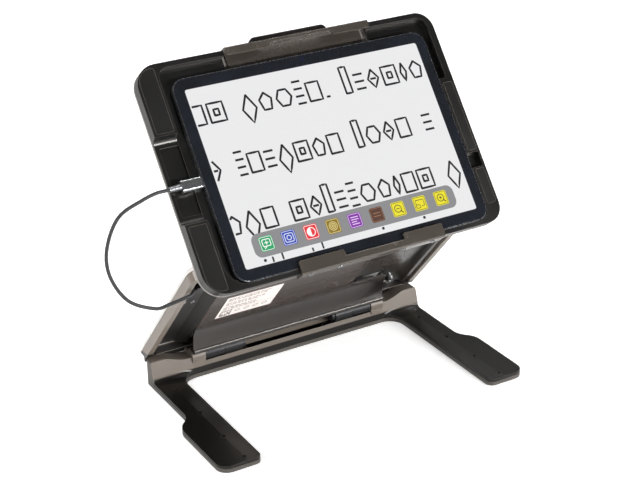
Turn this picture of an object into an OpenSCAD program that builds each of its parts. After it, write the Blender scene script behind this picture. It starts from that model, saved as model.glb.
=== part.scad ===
// Folding electronic low vision magnifier: a U-shaped base, a folding camera
// arm and a tilting cradle that holds a touch tablet. The origin lies on the
// table under the middle of the rear hinge; +X is to the reader's right,
// -Y points towards the reader and +Z is up.

/* [Base] */
// Width over the narrow part of the two feet
base_w = 283; // [278:1:286]
// Width over the paddle-shaped foot ends
paddle_w = 308; // [300:1:316]
// Distance from the rear hinge axis forward to the foot tips
foot_reach = 162.5; // [155:0.5:164]
// Clear width between the feet
foot_gap = 230; // [220:1:232]
// Radius of the inner corner between foot and cross bar
inner_corner_r = 15; // [8:1:20]
// Height of the rear hinge axis above the table
base_axis_z = 20; // [19.5:0.1:20.5]

/* [Arm] */
// Angle between the arm and the table
arm_tilt = 48.55; // [30:0.05:60]
// Width of the arm
arm_w = 285.2; // [280:0.2:286]
// Length of the arm panel beyond its rear hinge
arm_len = 168; // [160:1:168]
// Thickness of the arm panel
arm_t = 12.5; // [12:0.1:12.6]

/* [Cradle] */
// Angle between the tablet and the table
cradle_tilt = 51.65; // [40:0.05:64]
// Width of the cradle
cradle_w = 289.7; // [286:0.1:292]
// Height of the cradle above the tablet's lower edge
cradle_top = 195.3; // [193:0.1:197]
// How far the upper clamp can close
clamp_travel = 15.4; // [5:0.1:15.4]

/* [Tablet] */
// Tablet width (10.9 inch class)
tab_w = 247.6; // [246:0.1:248]
// Tablet height
tab_h = 178.5; // [177:0.1:179]
// Tablet thickness
tab_t = 6.1; // [5.8:0.1:6.2]

/* [Hidden] */
$fn = 48;
overlap = 0.01;            // sinks a screw shank into its head

screw_color = "#77797c";
pin_color = "#8d8f92";
leaf_color = "#2b2b2e";
tablet_color = "#a9abb0";

// Base, in table coordinates
base_rear_y = 10.5;
bar_front_y = -7;          // front face of the cross bar
bar_half = 101.6;          // half the length of the bar between the end towers
foot_tip_y = -foot_reach;
foot_inner_x = foot_gap / 2;

// Each foot widens to its paddle end in an S of two equal arcs
flare_out = (paddle_w - base_w) / 2;
flare_len = 26;
flare_r = (flare_out * flare_out + flare_len * flare_len) / (4 * flare_out);
flare_angle = asin(flare_len / 2 / flare_r);
flare_start_y = -67.5;

// Arm frame: origin on the rear hinge axis, +Y up the arm, +Z out of its underside
arm_turn = 180 - arm_tilt;
arm_half = arm_w / 2;
arm_back_z = -21.6;
arm_under_z = arm_back_z + arm_t;
arm_split_z = -17.9;       // joint of the back shell and the front frame
bay_top_y = arm_len - 4.4; // top edge of the panels inside the rim
plate_low_y = 36.2;        // lower edge of the cover plate
plate_half = 100.5;        // hinge cover half width, also the cover plate's left edge

// Cradle frame: origin at the tablet's lower edge on its glass, +Y up the
// tablet, +Z out of the glass
cradle_turn = cradle_tilt - arm_turn;
cradle_half = cradle_w / 2;
cradle_low_y = -4.5;
cradle_back_z = -13;
tray_back_z = -9.2;
tray_floor_z = -6.6;
tab_left = -116.55;
tab_right = tab_left + tab_w;
clamp_left = -60.5;        // left end of the clamp and the hook rail
clamp_right = 80;          // their right end

// Upper hinge axis, [y, z] in each frame
upper_axis_in_arm = [175.47, -18.05];
upper_axis_in_cradle = [28, -18.5];

// Hinge pins and the knuckles around them
pin_r = 2.5;
knuckle_r = 6.2;
upper_pin_r = 2.0;
upper_knuckle_r = 4.6;
bore_gap = 0.05;

// ---------------------------------------------------------------- outlines
function arc(x, y, radius, from, to, steps = 8) = [for (i = [0:steps])
  let (angle = from + (to - from) * i / steps) [x + radius * cos(angle), y + radius * sin(angle)]];

// Rounded rectangle; radii is one number or
// [bottom left, bottom right, top right, top left]
function round_rect(x0, x1, y0, y1, radii, inset = 0, steps = 8) = let (
    given = is_list(radii) ? radii : [radii, radii, radii, radii],
    radius = [for (r = given) max(r - inset, 0.3)],
    left = x0 + inset,
    right = x1 - inset,
    low = y0 + inset,
    high = y1 - inset)
  concat(
    arc(left + radius[0], low + radius[0], radius[0], 180, 270, steps),
    arc(right - radius[1], low + radius[1], radius[1], 270, 360, steps),
    arc(right - radius[2], high - radius[2], radius[2], 0, 90, steps),
    arc(left + radius[3], high - radius[3], radius[3], 90, 180, steps));

function mirror_x(points) =
  [for (i = [len(points) - 1:-1:0]) [-points[i][0], points[i][1]]];

// ---------------------------------------------------------------- solids
module both() {
  children();
  mirror([1, 0, 0]) children();
}

module slab(z0, z1) {
  translate([0, 0, z0]) linear_extrude(z1 - z0) children();
}

// Extrude a y-z profile along x
module along_x(x0, x1) {
  translate([x0, 0, 0]) rotate([90, 0, 90]) linear_extrude(x1 - x0) children();
}

// Extrude an x-z profile along y
module along_y(y0, y1) {
  translate([0, y1, 0]) rotate([90, 0, 0]) linear_extrude(y1 - y0) children();
}

module rod_x(x0, x1, y, z, radius) {
  translate([x0, y, z]) rotate([0, 90, 0]) cylinder(r = radius, h = x1 - x0);
}

// Upright cylinder standing at height z on place = [x, y]
module post(place, z, radius, height) {
  translate([place[0], place[1], z]) cylinder(r = radius, h = height);
}

module box(x0, x1, y0, y1, z0, z1) {
  translate([x0, y0, z0]) cube([x1 - x0, y1 - y0, z1 - z0]);
}

module plate(x0, x1, y0, y1, z0, z1, radii) {
  slab(z0, z1) polygon(round_rect(x0, x1, y0, y1, radii));
}

// Socket head screw; z = 0 is under the head
module pan_screw(socket_r, head_r, head_h, shank_r, shank_len) {
  translate([0, 0, -shank_len]) cylinder(r = shank_r, h = shank_len + overlap);
  difference() {
    cylinder(r = head_r, h = head_h);
    translate([0, 0, head_h - 0.5]) cylinder(r = socket_r, h = 1, $fn = 6);
  }
}

// Round tube along a path of points
module tube(path, radius, sides = 12) {
  count = len(path);
  tangents = [for (i = [0:count - 1])
    unit(path[min(i + 1, count - 1)] - path[max(i - 1, 0)])];
  points = [for (i = [0:count - 1])
    let (across = unit(cross(tangents[i], [0, 1, 0.15])), normal = cross(across, tangents[i]))
    for (k = [0:sides - 1]) let (angle = 360 * k / sides)
      path[i] + radius * cos(angle) * across + radius * sin(angle) * normal];
  faces = concat(
    [[for (k = [0:sides - 1]) k]],
    [[for (k = [sides - 1:-1:0]) (count - 1) * sides + k]],
    [for (i = [0:count - 2]) for (k = [0:sides - 1])
      let (near = i * sides, far = near + sides, next = (k + 1) % sides)
      each [[near + k, far + k, far + next], [near + k, far + next, near + next]]]);
  polyhedron(points, faces, convexity = 6);
}

function unit(vector) = vector / norm(vector);

// ---------------------------------------------------------------- frames
module in_arm() {
  translate([0, 0, base_axis_z]) rotate([arm_turn, 0, 0]) children();
}

// Arm directions, origin on the upper hinge axis
module at_upper_axis() {
  in_arm() translate([0, upper_axis_in_arm[0], upper_axis_in_arm[1]]) children();
}

module in_cradle() {
  at_upper_axis() rotate([cradle_turn, 0, 0])
    translate([0, -upper_axis_in_cradle[0], -upper_axis_in_cradle[1]]) children();
}

// The same moves for single points
function turn_x(point, angle) = [
  point[0],
  point[1] * cos(angle) - point[2] * sin(angle),
  point[1] * sin(angle) + point[2] * cos(angle)];
function arm_point(point) = turn_x(point, arm_turn) + [0, 0, base_axis_z];
function cradle_point(point) = arm_point(
  turn_x(point - [0, upper_axis_in_cradle[0], upper_axis_in_cradle[1]], cradle_turn)
  + [0, upper_axis_in_arm[0], upper_axis_in_arm[1]]);

// ---------------------------------------------------------------- base
foot_pads = [[129, -146], [128, -30], [92, 1.8]];   // [x, y], mirrored to the left
foot_pad_r = 5.5;
foot_screw_x = 129.2;
foot_screw_ys = [-28, -74.5, -118.8, -156];
bracket_screw_x = 43.5;
bracket_screw_ys = [-1, 4.2];

// Right half of the U outline, from the rear corner round to the inner corner
function base_half(inset) = concat(
  arc(base_w / 2 - 6, base_rear_y - 6, 6 - inset, 90, 0),
  arc(base_w / 2 + flare_r, flare_start_y, flare_r + inset, 180, 180 + flare_angle),
  arc(paddle_w / 2 - flare_r, flare_start_y - flare_len, flare_r - inset, flare_angle, 0),
  arc(paddle_w / 2 - 11, foot_tip_y + 11, 11 - inset, 0, -90),
  arc(foot_inner_x + 7, foot_tip_y + 7, 7 - inset, -90, -180),
  arc(foot_inner_x - inner_corner_r, bar_front_y - inner_corner_r,
    inner_corner_r + inset, 0, 90));

module base_plan(inset = 0) {
  polygon(concat(base_half(inset), mirror_x(base_half(inset))));
}

module at_foot_pads() {
  both() for (p = foot_pads) translate([p[0], p[1], 0]) children();
  children();
}

module at_foot_screws(z) {
  both() for (y = foot_screw_ys) translate([foot_screw_x, y, z]) children();
}

module at_bracket_screws(z) {
  for (y = bracket_screw_ys) translate([bracket_screw_x, y, z]) children();
}

module base_lower_shell() {
  color("#8b8782") difference() {
    slab(1, 4.4) base_plan();
    // tray floor, with bosses left standing round the screws
    difference() {
      slab(2.2, 5) base_plan(2.4);
      at_foot_screws(1.5) cylinder(r = 2.7, h = 4);
    }
    at_foot_screws(2.0) cylinder(r = 0.95, h = 4);
    at_foot_pads() translate([0, 0, 0.5]) cylinder(r = foot_pad_r + 0.1, h = 1.1);
  }
  color("#8b8782") both() intersection() {
    tower_wall(0);
    tower_top();
    slab(4.35, 28) base_plan();
  }
}

module base_rubber_feet() {
  color("#1b1b1b") at_foot_pads() cylinder(r = foot_pad_r, h = 1.6);
}

module foot_ballast_bars() {
  color("#9a9c9e") both() box(117.9, 126.2, -140, -34, 2.25, 4.1);
}

module base_cover_screws() {
  color("#2a2a2b") at_foot_screws(6.1) pan_screw(0.9, 1.75, 0.9, 0.9, 3.9);
}

// Outer and rear skin of an end tower, part of the lower shell; grow widens it
module tower_wall(grow) {
  along_x(139.3 - grow, 143) polygon([[-5.9 - grow, 4.3], [-5.9 - grow, 12],
    [-1.9 - grow, 26], [-1.9 - grow, 30], [12, 30], [12, 4.3]]);
  box(101.8 - grow, 143, 8.7 - grow, 12, 4.3, 30);
}

// The tower's skyline: high at the outer end, falling in an S towards the hinge
module tower_top() {
  along_y(-30, 12) polygon(concat(
    [[101.3, 4.3], [101.3, 21.2]],
    [for (i = [0:14]) [106 + 25 * i / 14, 21.2 + 2.65 * (1 - cos(180 * i / 14))]],
    arc(139.5, 24.5, 2, 90, 0, 5),
    [[141.5, 4.3]]));
}

// Concave corner between foot and tower, its upper edge rising in an arch.
// It is skinned over cross sections in y-z spaced along x.
cove_sections = 14;
cove_steps = 7;            // steps of the curve in one section

function cove_wave(x) = sin(max(0, min(180, 180 * (x - 101.6) / 38.5)));
function cove_foot_z(x) = x < 129.5 ? 6.45 + (x - 115) * 0.1 : 7.9 - (x - 129.5) * 0.04;
function cove_section(x) = let (
    top_z = 11.2 + 4.3 * cove_wave(x),
    front_y = -12 - 9 * cove_wave(x),
    top_y = -6.95 + max(0, top_z - 12.3) * 0.297,
    foot_z = cove_foot_z(x))
  concat(
    [[x, -5, 5.1], [x, front_y - 1, 5.1]],
    [for (j = [0:cove_steps]) let (angle = 90 * j / cove_steps)
      [x, front_y + (top_y - front_y) * sin(angle),
        foot_z + (top_z - foot_z) * (1 - cos(angle))]],
    [[x, -5, top_z]]);

module tower_cove() {
  ring = cove_steps + 4;   // points in one section
  last = cove_sections * ring;
  points = [for (i = [0:cove_sections]) each cove_section(103 + 40 * i / cove_sections)];
  polyhedron(points, concat(
    [for (j = [1:ring - 2]) [0, j + 1, j]],
    [for (j = [1:ring - 2]) [last, last + j, last + j + 1]],
    [for (i = [0:cove_sections - 1]) for (j = [0:ring - 1])
      let (near = i * ring, far = near + ring, next = (j + 1) % ring)
      each [[near + j, far + next, far + j], [near + j, near + next, far + next]]]),
    convexity = 6);
}

// [y, z] section of a tower
tower_face = [[-7, 4.9], [-7, 12.3], [-3.2, 25.1], [-2.7, 26], [-1.8, 26.5],
  [10.5, 26.5], [10.5, 4.9]];
// [x, z] section across the right foot, top surface and underside
foot_top = [[98, 4.9], [98, 7.0], [foot_inner_x, 6.5], [foot_inner_x + 2, 6.9],
  [129.5, 8.0], [141, 7.5], [155, 6.9], [160, 4.9]];
// [y, z] section of the cross bar with its hinge trough
bar_section = [[bar_front_y, 4.9], [bar_front_y, 11.3], [-4.8, 14.6], [-4.1, 14.2],
  [-4.1, 8], [7.6, 8], [7.6, 24.3], [8.4, 25.2], [9.4, 25.2], [base_rear_y, 24.2],
  [base_rear_y, 4.9]];
// [y, z] section of the shoulders that close the ends of the trough
shoulder_section = [[bar_front_y, 5], [bar_front_y, 11.3], [-6.2, 16.9], [-2, 20],
  [7.8, 20], [7.8, 5]];

module cover_body() {
  // set-back ring at the joint with the lower shell
  difference() {
    slab(4.4, 5.01) base_plan(1.1);
    slab(4.3, 5.1) base_plan(3.2);
  }
  intersection() {
    slab(5, 28) base_plan();
    union() {
      both() along_y(foot_tip_y - 1, -6.9) polygon(foot_top);
      along_x(-foot_inner_x, foot_inner_x)
        polygon([[-60, 4.9], [-60, 7], [-7, 7], [-7, 4.9]]);
      both() tower_cove();
      both() intersection() {
        along_x(101.3, 142) polygon(tower_face);
        tower_top();
      }
    }
  }
  along_x(-bar_half, bar_half) polygon(bar_section);
  both() {
    along_x(88.6, bar_half) polygon(shoulder_section);
    rod_x(88.6, bar_half, 0, base_axis_z, 7);
  }
}

module base_top_cover() {
  color("#5a554f") difference() {
    cover_body();
    both() tower_wall(0.2);
    // hollow towers
    both() along_x(105, 138)
      polygon([[-4, 4], [-4, 13], [-2.6, 19], [7.4, 19], [7.4, 4]]);
    // holes and head pockets of the foot screws
    at_foot_screws(4) cylinder(r = 1.05, h = 4);
    at_foot_screws(6) cylinder(r = 1.95, h = 4);
    // holes for the bracket screws
    both() at_bracket_screws(5.4) cylinder(r = 1.1, h = 4);
  }
}

module base_hinge_brackets() {
  color("#26262a") both() difference() {
    union() {
      box(40, 67.9, -3.6, 7.2, 8, 10.2);
      along_x(50, 67.9) polygon([[-3.6, 10.1], [-4.4, 20], [4.4, 20], [5.4, 10.1]]);
      rod_x(50, 67.9, 0, base_axis_z, knuckle_r);
    }
    rod_x(49, 69, 0, base_axis_z, pin_r + bore_gap);
    at_bracket_screws(7) cylinder(r = 1.3, h = 5);
  }
}

module base_hinge_screws() {
  color(screw_color) both() at_bracket_screws(10.25) pan_screw(0.9, 1.9, 1.2, 1.0, 4.4);
}

module base_hinge_pins() {
  color(pin_color) both() {
    rod_x(46.6, 49.9, 0, base_axis_z, 4.9);
    rod_x(49.8, 88.3, 0, base_axis_z, pin_r);
  }
}

// ---------------------------------------------------------------- arm
shell_screw_ys = [30, 140];
bay_screw_x = 120;         // shell screws under the two side bays
plate_screw_x = 24;        // shell screws under the cover plate
shell_screws = [for (y = shell_screw_ys) for (x = [-bay_screw_x, bay_screw_x, plate_screw_x])
  [x, y]];
left_liner_screws = [[-128.5, 99], [-119.5, 96]];
right_liner_screw = [116, 12];
leaf_screw_x = 78;
leaf_screw_ys = [20, 30];
leaf_slot = [66.6, 89.6];  // x range cleared round each lower hinge leaf
camera_place = [84, 92];
camera_r = 4.4;

module arm_plan(inset = 0, y0 = -9) {
  polygon(round_rect(-arm_half, arm_half, y0, arm_len, [2, 2, 10, 10], inset));
}

// The opening inside the rim, made smaller by gap all round
module rim_opening(gap) {
  polygon(round_rect(-arm_half + 5.8 + gap, arm_half - 5.8 - gap,
    2.8 + gap, arm_len - 4.2 - gap, 8));
}

module bay_space() {
  slab(-20, 0) rim_opening(0.2);
}

// Cutter for everything below the sloping lower end of the arm
module arm_end_cut() {
  along_x(-arm_half - 5, arm_half + 5) polygon([[-7, arm_back_z],
    [-15.24, arm_back_z - 10], [-40, arm_back_z - 10], [-40, 10], [19.04, 10]]);
}

// Cutter for the upper hinge at the top edge
module upper_hinge_notch(z0, z1) {
  both() box(69, 101, 160, 175, z0, z1);
}

module arm_back_shell() {
  color("#c9c5c0") in_arm() difference() {
    hull() {
      slab(arm_back_z, arm_back_z + 0.05) arm_plan(1.5);
      slab(arm_back_z + 1.4, arm_split_z) arm_plan();
    }
    difference() {
      slab(-19.8, -17) arm_plan(2.6, -1);
      for (p = shell_screws) post(p, -20, 3.2, 0.9);
    }
    arm_end_cut();
    for (p = shell_screws) {
      post(p, -22, 1.2, 4);
      post(p, -22, 2.3, 1.2);
    }
    upper_hinge_notch(-21, -17);
  }
  // skirt that closes the gap behind the base
  color("#c9c5c0") along_x(-139.5, 139.5) polygon([[12.8, 28.3], [12.8, 20.2],
    [13.6, 19.4], [15, 19.6], [20.7, 29.15], [16.4, 29.15], [16.4, 28.3]]);
}

module arm_front_frame() {
  color("#9b928b") in_arm() difference() {
    union() {
      // set-back ring at the joint with the back shell
      difference() {
        slab(arm_split_z, -17.1) arm_plan(0.9);
        slab(-18, -17) arm_plan(2.5, -1);
      }
      slab(-17.2, arm_under_z) arm_plan();
    }
    slab(-17.3, 0) rim_opening(0);
    arm_end_cut();
    upper_hinge_notch(-18, -14.8);
    both() box(leaf_slot[0], leaf_slot[1], -5, 12, -17.3, 0);
  }
}

// [y, z] section: a concave sheet, a rolled lip and a shell round the hinge axis
module hinge_cover_profile() {
  sheet_r = 30.7;
  polygon(concat(arc(36, 18.7, sheet_r, 270, 216, 12), arc(36, 18.7, sheet_r + 2, 216, 270, 12)));
  polygon(arc(9.85, 0, 2.5, 0, 345, 24));
  polygon(concat(arc(0, 0, 7.45, -4, -96, 16), arc(0, 0, 9, -96, -4, 16)));
}

module arm_hinge_cover() {
  color("#7d7872") in_arm() difference() {
    along_x(-plate_half, plate_half) hinge_cover_profile();
    both() box(leaf_slot[0], leaf_slot[1], -3, 8.2, -12, -0.9);
    both() box(leaf_slot[0], leaf_slot[1], -3, 8.7, -12, -4);
  }
}

module arm_cover_plate() {
  screw_place = [plate_screw_x, shell_screw_ys[1]];
  color("#4a3f39") in_arm() difference() {
    union() {
      plate(-plate_half, 57, plate_low_y, bay_top_y, -14, -12, [0.5, 0.5, 3, 3]);
      post(screw_place, -18.9, 3, 5);
    }
    post(screw_place, -19, 1.1, 3.5);
    // fine groove across the face
    box(-26, 56, 71.6, 72.3, -12.5, -11);
  }
}

// [x, z] section of the sheet between the cover plate and the right-hand rim
module scoop_profile() {
  polygon(concat(
    [[57.3, -14], [57.3, -12]],
    arc(57.3, -18, 6, 85, 30, 6),
    arc(69.1, -11.2, 6, 215, 270, 6),
    arc(117.5, -0.2, 17, 270, 318, 10),
    [[134.2, -11.3], [136.5, -11.3], [136.5, -13.2], [133.2, -13.2]],
    arc(117.5, -0.2, 18.4, 312, 270, 8),
    arc(69.1, -11.2, 7.4, 270, 215, 6),
    arc(57.3, -18, 4.6, 25, 80, 6)));
}

// A scooped floor between the cover plate and the right-hand rim
module arm_right_bay_liner() {
  color("#3c3b3a") in_arm() difference() {
    union() {
      intersection() {
        along_y(plate_low_y, bay_top_y) scoop_profile();
        bay_space();
      }
      // beside the hinge cover only the outer part runs on down
      intersection() {
        bay_space();
        along_y(5.6, plate_low_y) scoop_profile();
        box(100.8, 140, 0, 40, -30, 0);
      }
      for (y = shell_screw_ys) post([bay_screw_x, y], -18.9, 3, 1.6);
    }
    post(camera_place, -20, camera_r + 0.2, 12);
    slab(-20, -8) led_plan(0.2, 1.9);
    post(right_liner_screw, -20, 2.3, 12);
    for (y = shell_screw_ys) post([bay_screw_x, y], -19, 1.1, 1.6);
  }
}

// [x, z] section of the left bay trough
module left_bay_profile() {
  polygon(concat(
    [[-136.5, -11.4], [-135.3, -11.4]],
    arc(-131.3, -13.2, 4, 180, 270, 6),
    arc(-114, -14.2, 3, 270, 300, 4),
    [[-101.2, -12.4], [-100.8, -12.4], [-100.8, -14.2]],
    arc(-114, -14.2, 4.5, 300, 270, 4),
    arc(-131.3, -13.4, 5.2, 270, 180, 6)));
}

module arm_left_bay_liner() {
  color("#2d2c2c") in_arm() difference() {
    union() {
      intersection() {
        bay_space();
        along_y(5.6, bay_top_y) left_bay_profile();
      }
      for (y = shell_screw_ys) post([-bay_screw_x, y], -18.9, 3, 1);
    }
    for (p = left_liner_screws) post(p, -20, 1, 8);
    for (y = shell_screw_ys) post([-bay_screw_x, y], -19, 1.1, 1.4);
  }
}

module arm_hinge_leaves() {
  color(leaf_color) in_arm() both() difference() {
    union() {
      rod_x(68.3, 87.9, 0, 0, knuckle_r);
      along_x(68.3, 87.9) polygon([[-1.5, -5.9], [3, -9.0], [8.6, -15.7], [35.5, -15.7],
        [35.5, -14.2], [11.3, -14.2], [6.0, -5.6], [4.6, -3.2], [0, -2.9]]);
    }
    rod_x(67, 89, 0, 0, pin_r + bore_gap);
    for (y = leaf_screw_ys) post([leaf_screw_x, y], -17, 1.5, 5);
  }
}

module arm_shell_screws() {
  color(screw_color) in_arm() {
    for (p = shell_screws) translate([p[0], p[1], -20.85])
      rotate([180, 0, 0]) pan_screw(0.8, 2.0, 0.7, 1.0, 3.1);
    both() for (y = leaf_screw_ys) translate([leaf_screw_x, y, -14.15])
      pan_screw(0.8, 2.0, 0.1, 1.3, 5.4);
    for (p = left_liner_screws) translate([p[0], p[1], -17.15])
      pan_screw(0.8, 2.0, 1.0, 0.9, 0.6);
    translate([right_liner_screw[0], right_liner_screw[1], -16.9])
      pan_screw(1.4, 4.4, 3.4, 2.1, 1.4);
  }
}

module arm_rubber_bumpers() {
  bumper_h = 1.5;
  color("#1d1d1d") in_arm() for (x = [-118, 118]) for (y = [12, 156])
    translate([x, y, arm_back_z - bumper_h]) cylinder(r1 = 4.2, r2 = 5, h = bumper_h);
}

module rating_label() {
  color("#e6e2dc") in_arm() plate(-85.9, -30, 49, 92, -12, -11.86, 1);
}

module camera_housing() {
  color("#151516") in_arm() difference() {
    post(camera_place, -19.6, camera_r, 4.6);
    post(camera_place, -17.2, 3.3, 4);
  }
}

module camera_lens() {
  color("#222c3a") in_arm() post(camera_place, -17.15, 3.15, 1.4);
}

module led_plan(gap, corner_r) {
  polygon(round_rect(74.8 - gap, 87 + gap, 79.4 - gap, 83 + gap, corner_r));
}

module led_window() {
  color("#eef2ff") in_arm() slab(-18.8, -16.9) led_plan(0, 1.8);
}

board_chips = [[18, 66, 12], [36, 66, 9], [24, 92, 15], [42, 100, 8]];   // [x, y, side]

module control_board() {
  color("#1f5a3a") in_arm() {
    plate(8, 54, 52, 118, -19.2, -17.8, 1);
    for (chip = board_chips)
      box(chip[0], chip[0] + chip[2], chip[1], chip[1] + chip[2], -17.81, -16.4);
  }
}

module battery_pack() {
  color("#3f4347") in_arm() plate(-94, 2, 50, 124, -19.5, -14.5, 3);
}

// ---------------------------------------------------------------- cable
socket_mouth = [-131.9, 140, -11.3];   // in the arm frame
plug_y = 90.1;                         // plug axis in the cradle frame
plug_z = -3.05;

module cable_socket() {
  color("#121213") in_arm() difference() {
    box(socket_mouth[0], -120.9, socket_mouth[1] - 5.5, socket_mouth[1] + 5.5, -17.1, -9.0);
    rod_x(socket_mouth[0] - 1, socket_mouth[0] + 6, socket_mouth[1], socket_mouth[2], 1.9);
  }
}

module cable_clips() {
  color("#121213") in_arm() for (y = [socket_mouth[1] - 6, socket_mouth[1] + 6])
    box(-120.4, -114.4, y - 2, y + 2, -17.15, -11.5);
}

cable_start = cradle_point([-145.1, plug_y, plug_z]);
plug_exit = cradle_point([-156.2, plug_y, plug_z]);
cable_end = arm_point(socket_mouth + [4.3, 0, 0]);

// The cable leaves the plug to the left, hangs in a C and comes back under the rim.
// Offsets from plug_exit are in table axes, those from the socket in arm axes.
cable_stations = concat(
  [for (offset = [[0, 0, 0], [-13, 0, -3.2], [-35.5, -0.4, -13.2], [-47.5, -1, -37],
    [-47.2, -1.7, -61.3], [-33.8, -3, -86.4], [-12, -6, -98.4]]) plug_exit + offset],
  [for (offset = [[-24.1, -6, 5.1], [-10.6, -1, 4.9], [-5.3, 0, 4.5], [-1.6, 0, 1.1],
    [1.1, 0, 0]]) arm_point(socket_mouth + offset)],
  [cable_end]);
last_station = len(cable_stations) - 1;

// Catmull-Rom curve from p1 to p2
function spline(p0, p1, p2, p3, t) = 0.5 * ((2 * p1) + (p2 - p0) * t
  + (2 * p0 - 5 * p1 + 4 * p2 - p3) * t * t
  + (3 * p1 - p0 - 3 * p2 + p3) * t * t * t);

cable_path = concat(
  [cable_start],
  [for (i = [0:last_station - 1]) for (k = [0:4])
    spline(cable_stations[max(i - 1, 0)], cable_stations[i], cable_stations[i + 1],
      cable_stations[min(i + 2, last_station)], k / 5)],
  [cable_end]);

module usb_cable() {
  color("#3a3a3c") tube(cable_path, 1.5);
}

// ---------------------------------------------------------------- upper hinge
// The arm leaf's places are taken from the upper hinge axis
upper_arm_screw_x = 78.5;
upper_arm_screw_ys = [-40, -24];
upper_cradle_screw = [91.5, 18];       // in the cradle frame

module upper_hinge_arm_leaves() {
  color(leaf_color) at_upper_axis() both() difference() {
    union() {
      rod_x(72, 84.9, 0, 0, upper_knuckle_r);
      along_x(72, 84.9) polygon([[-48, -1.7], [-48, -0.65], [-9, -0.65], [-3, 1.8],
        [0, 3.9], [0, -3.9], [-4, -1.7]]);
    }
    rod_x(71, 86, 0, 0, upper_pin_r + bore_gap);
    for (y = upper_arm_screw_ys) post([upper_arm_screw_x, y], -3, 1.4, 6);
  }
}

module upper_hinge_cradle_leaves() {
  axis_y = upper_axis_in_cradle[0];
  axis_z = upper_axis_in_cradle[1];
  leaf_z = cradle_back_z - 1.9;
  color(leaf_color) in_cradle() both() difference() {
    union() {
      rod_x(85.1, 98, axis_y, axis_z, upper_knuckle_r);
      along_x(85.1, 98) polygon([[14, cradle_back_z], [34, cradle_back_z], [34, leaf_z],
        [31.5, axis_z - 2], [axis_y, axis_z - 2], [24.5, axis_z + 1], [22.5, leaf_z],
        [14, leaf_z]]);
    }
    rod_x(84, 99, axis_y, axis_z, upper_pin_r + bore_gap);
    post(upper_cradle_screw, cradle_back_z - 3, 1.4, 6);
  }
}

module upper_hinge_pins() {
  color(pin_color) at_upper_axis() both() {
    rod_x(71, 98.6, 0, 0, upper_pin_r);
    rod_x(69.5, 71.2, 0, 0, 3.4);
  }
}

module upper_hinge_arm_screws() {
  color(screw_color) at_upper_axis() both() for (y = upper_arm_screw_ys)
    translate([upper_arm_screw_x, y, -1.15]) pan_screw(0.7, 1.3, 0.5, 1.2, 0.6);
}

module upper_hinge_cradle_screws() {
  color(screw_color) in_cradle() both()
    translate([upper_cradle_screw[0], upper_cradle_screw[1], cradle_back_z - 1.95])
      rotate([180, 0, 0]) pan_screw(0.8, 2.2, 1.2, 1.2, 4.1);
}

// ---------------------------------------------------------------- cradle
back_screws = [[-128, 12], [-128, 178], [128, 12], [130, 178], [-70, 95], [90, 95]];
rail_screw_xs = [-50, -22, 42, 70];
rail_screw_z = -4.6;
stud_xs = [-30, 50];
stud_y = 160;
spring_xs = [-42, 62];
power_button_y = 53;

// Beds of the grip pads: [x0, x1, y0, y1, corner radii]
left_upper_bed = [-cradle_half + 2.6, -126.2, 136, cradle_top - 3, [1, 1, 2, 13.5]];
left_lower_bed = [-cradle_half + 2.6, -126.2, cradle_low_y + 3.3, 55.7, [12, 2, 1, 1]];
right_middle_bed = [133.6, cradle_half - 2.2, 62, 127, [1, 1, 1, 1]];
right_lower_bed = [133.6, cradle_half - 2.2, 12, 44.4, [1, 3, 1, 1]];
pad_t = 0.8;

module pad_plan(bed, gap) {
  polygon(round_rect(bed[0] + gap, bed[1] - gap, bed[2] + gap, bed[3] - gap, bed[4]));
}

module grip_pad(bed) {
  in_cradle() slab(-pad_t, 0) pad_plan(bed, 0.1);
}

module cradle_plan(inset = 0) {
  polygon(round_rect(-cradle_half, cradle_half, cradle_low_y, cradle_top,
    [20, 16, 16, 20], inset, 10));
}

module at_rail_screws(y) {
  for (x = rail_screw_xs) translate([x, y, rail_screw_z]) children();
}

module cradle_tray() {
  color("#3a3836") in_cradle() difference() {
    slab(tray_back_z, 0) cradle_plan();
    // pocket for the tablet, wider at the upper right
    plate(-124.3, tab_right + 0.45, -0.6, 190.8, tray_floor_z, 1, [19, 12, 8, 10]);
    plate(100, 138.4, 131, 190.8, tray_floor_z, 1, [1, 3, 10, 1]);
    // scooped cable recess in the left wall
    along_x(-160, -124) polygon(concat(
      [[57.5, 1]],
      arc(64, -1.7, 5.5, 180, 270, 6),
      arc(128, -1.7, 5.5, 270, 360, 6),
      [[134.5, 1]]));
    plate(-141.6, -120, 66, 126, -8.3, -7, [2, 0.5, 0.5, 2]);
    // notch that leaves the tablet's power button free
    along_x(tab_right, cradle_half - 2)
      polygon([[46, 1], [46.8, -6.3], [59.2, -6.3], [60, 1]]);
    // gap for the sliding clamp
    box(clamp_left - 0.5, clamp_right + 0.5, 179, 210, -10, 1);
    for (bed = [left_upper_bed, left_lower_bed, right_middle_bed, right_lower_bed])
      slab(-pad_t, 1) pad_plan(bed, 0);
    // guide stud seats
    for (x = stud_xs) post([x, stud_y], -9.3, 1.6, 1.6);
    at_rail_screws(-5) rotate([-90, 0, 0]) cylinder(r = 1.1, h = 3.4);
    for (p = back_screws) post(p, -9.3, 1.1, 1.9);
  }
}

module left_upper_pad() {
  color("#2f2e2d") grip_pad(left_upper_bed);
}

module left_lower_pad() {
  color("#2f2e2d") grip_pad(left_lower_bed);
}

module right_middle_pad() {
  color("#3b3a38") grip_pad(right_middle_bed);
}

module right_lower_pad() {
  color("#3b3a38") grip_pad(right_lower_bed);
}

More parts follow.
